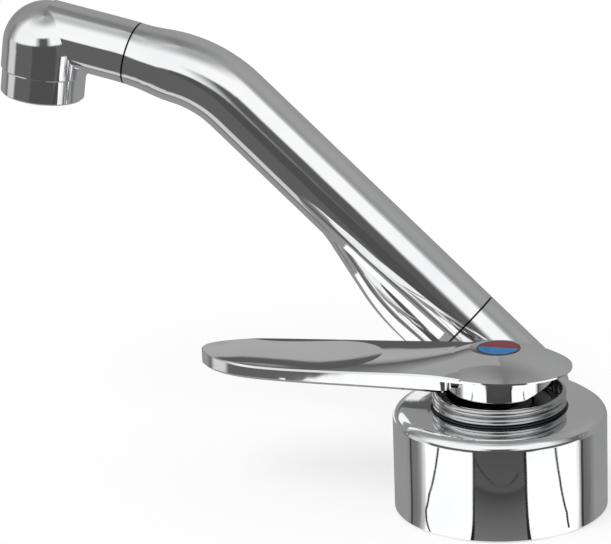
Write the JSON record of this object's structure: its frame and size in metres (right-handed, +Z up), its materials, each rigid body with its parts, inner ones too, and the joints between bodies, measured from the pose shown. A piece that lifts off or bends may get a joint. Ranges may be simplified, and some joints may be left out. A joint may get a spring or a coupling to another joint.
{
  "type": "mixer tap",
  "caption": "Chrome single-lever mixer tap with a low round swivelling base, a fold-down tubular spout beside it and a flat lever handle.",
  "frame": {"origin": "on the worktop's upper face, on the vertical axis of the round base and cartridge", "axes": "+Z up; -X is the way the closed lever points, and the raised spout reaches the same way; +Y is the side that carries the spout's hinge"},
  "size_m": [0.1921, 0.0842, 0.1771],
  "materials": {
    "chrome_bright": "polished chrome plate",
    "brass_plain": "machined, bare",
    "steel_plain": "machined stainless steel",
    "rubber_black": "matte",
    "plastic_white": "smooth moulded",
    "plastic_grey": "smooth moulded",
    "plastic_dark": "gloss",
    "ceramic_white": "lapped ceramic",
    "enamel_red": "gloss enamel",
    "enamel_blue": "gloss enamel"
  },
  "bodies": {
    "valve_body": {"base_gasket": "rubber_black", "threaded_shank": "brass_plain", "rubber_washer": "rubber_black", "steel_washer": "steel_plain", "fixing_nut": "brass_plain", "valve_core": "brass_plain", "gallery_plug": "steel_plain", "core_seals": "rubber_black", "lower_slide_ring": "plastic_white", "upper_slide_ring": "plastic_white", "collar": "chrome_bright", "port_seals": "rubber_black", "cartridge_base": "plastic_grey", "cartridge_housing": "plastic_grey", "fixed_ceramic_disc": "ceramic_white", "cartridge_nut": "plastic_dark"},
    "swivel_base": {"base_shell": "chrome_bright", "hinge_spigot": "steel_plain", "hinge_seals": "rubber_black", "hinge_washer": "plastic_white", "hinge_cap": "chrome_bright"},
    "spout_arm": {"arm_knuckle": "chrome_bright", "spout_tube": "chrome_bright", "seam_seals": "rubber_black", "outlet_elbow": "chrome_bright", "aerator_ring": "chrome_bright", "aerator_washer": "rubber_black", "aerator_screen": "plastic_white"},
    "rotor": {"rotor": "plastic_grey", "pivot_pin": "steel_plain"},
    "lever": {"spindle": "steel_plain", "lever_handle": "chrome_bright", "lever_screw": "steel_plain", "mark_plug": "plastic_dark", "mark_red": "enamel_red", "mark_blue": "enamel_blue"},
    "disc": {"moving_ceramic_disc": "ceramic_white", "disc_carrier": "plastic_white"}
  },
  "joints": [
    {"name": "spout_swivel", "type": "hinge", "parent": "valve_body", "child": "swivel_base", "pos_m": [0, 0, 0.0145], "axis": [0, 0, 1], "range_deg": [-180, 0]},
    {"name": "spout_fold", "type": "hinge", "parent": "swivel_base", "child": "spout_arm", "pos_m": [0, 0.0412, 0.0204], "axis": [0, -1, 0], "range_deg": [0, 33]},
    {"name": "lever_turn", "type": "hinge", "parent": "valve_body", "child": "rotor", "pos_m": [0, 0, 0.029], "axis": [0, 0, 1], "range_deg": [-15, 45]},
    {"name": "lever_lift", "type": "hinge", "parent": "rotor", "child": "lever", "pos_m": [0, 0, 0.029], "axis": [0, 1, 0], "range_deg": [0, 18]},
    {"name": "disc_slide", "type": "slide", "parent": "rotor", "child": "disc", "axis": [-1, 0, 0], "range_m": [0, 0.0025]}
  ],
  "couplings": [
    {"joint": "disc_slide", "follows": "lever_lift", "m_per_rad": 0.00785}
  ]
}
